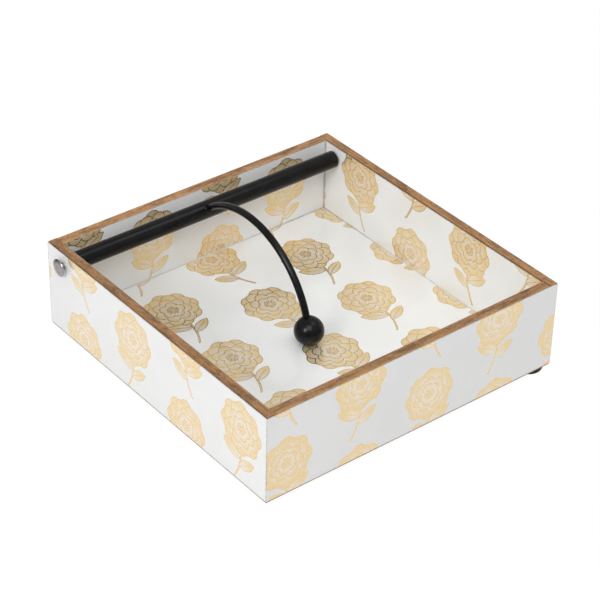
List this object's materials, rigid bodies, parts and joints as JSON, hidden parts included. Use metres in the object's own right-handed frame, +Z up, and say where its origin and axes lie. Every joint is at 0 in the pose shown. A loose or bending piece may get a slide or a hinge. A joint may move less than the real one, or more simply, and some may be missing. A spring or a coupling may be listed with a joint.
{
  "type": "napkin tray with weight arm",
  "caption": "Square open napkin tray of printed boards with a wooden rim; a bent wire arm with a ball swings on a rod near the back wall and holds the napkins down.",
  "frame": {"origin": "on the surface that the feet stand on, below the middle of the tray", "axes": "+Z up; +X along the pivot rod, to the right seen from the front; +Y to the back wall, which the rod is near"},
  "size_m": [0.1994, 0.1906, 0.0643],
  "materials": {
    "rim_wood": "varnished brown wood",
    "printed_sheet": "white sheet with gold foil print under a clear gloss coat",
    "black_metal": "satin black coat",
    "bright_metal": "bright nickel plate",
    "foot_rubber": "matt black rubber",
    "brad_steel": "plain steel wire"
  },
  "bodies": {
    "tray": {"left_wall": "rim_wood", "right_wall": "rim_wood", "front_wall": "rim_wood", "back_wall": "rim_wood", "base_board": "rim_wood", "left_outer_sheet": "printed_sheet", "right_outer_sheet": "printed_sheet", "front_outer_sheet": "printed_sheet", "back_outer_sheet": "printed_sheet", "left_inner_sheet": "printed_sheet", "right_inner_sheet": "printed_sheet", "front_inner_sheet": "printed_sheet", "back_inner_sheet": "printed_sheet", "floor_sheet": "printed_sheet", "corner_brads": "brad_steel", "base_brads": "brad_steel", "front_left_foot": "foot_rubber", "front_right_foot": "foot_rubber", "back_left_foot": "foot_rubber", "back_right_foot": "foot_rubber"},
    "swing_arm": {"pivot_rod": "black_metal", "left_pivot_pin": "bright_metal", "right_pivot_pin": "bright_metal", "weight_arm": "black_metal", "weight_ball": "black_metal"}
  },
  "joints": [
    {"name": "arm_lift", "type": "hinge", "parent": "tray", "child": "swing_arm", "pos_m": [0, 0.081, 0.0467], "axis": [-1, 0, 0], "range_deg": [0, 86]}
  ]
}
